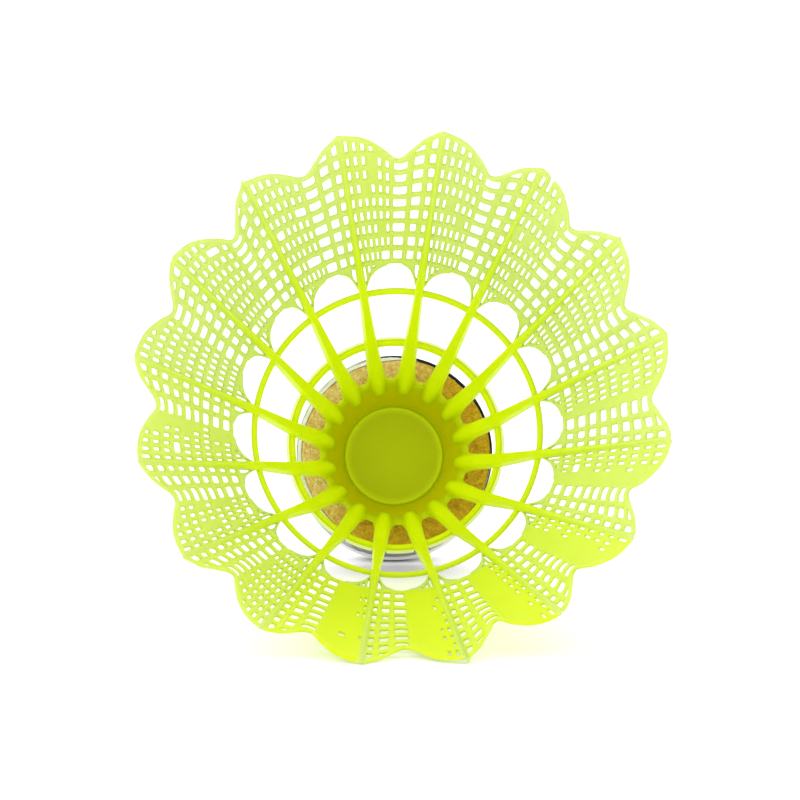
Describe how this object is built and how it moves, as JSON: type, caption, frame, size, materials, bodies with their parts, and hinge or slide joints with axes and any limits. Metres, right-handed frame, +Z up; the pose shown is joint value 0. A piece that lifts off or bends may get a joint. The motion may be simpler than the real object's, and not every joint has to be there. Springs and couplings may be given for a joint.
{
  "type": "badminton shuttlecock",
  "caption": "Synthetic badminton shuttlecock with a ribbed, pleated lattice skirt and a domed cork base under a thin cover, lying on its side.",
  "frame": {"origin": "centre of the bounding box's bottom, on the surface that the shuttlecock lies on", "axes": "+Z up, -Y the way the skirt's open mouth faces, +Y towards the nose of the cork; the shuttlecock's own axis lies in the YZ plane and slopes 15.1 degrees down towards the nose, and +X is across it"},
  "size_m": [0.0662, 0.0902, 0.0638],
  "materials": {
    "nylon_skirt": "moulded nylon, fluorescent yellow-green, slightly translucent",
    "cork": "granulated cork, bare",
    "white_cover": "white synthetic leather, fine grain",
    "black_ribbon": "glossy black ribbon"
  },
  "bodies": {
    "root": {"skirt": "nylon_skirt", "cork_base": "cork", "cork_skin": "white_cover", "edge_band": "black_ribbon"}
  },
  "joints": []
}
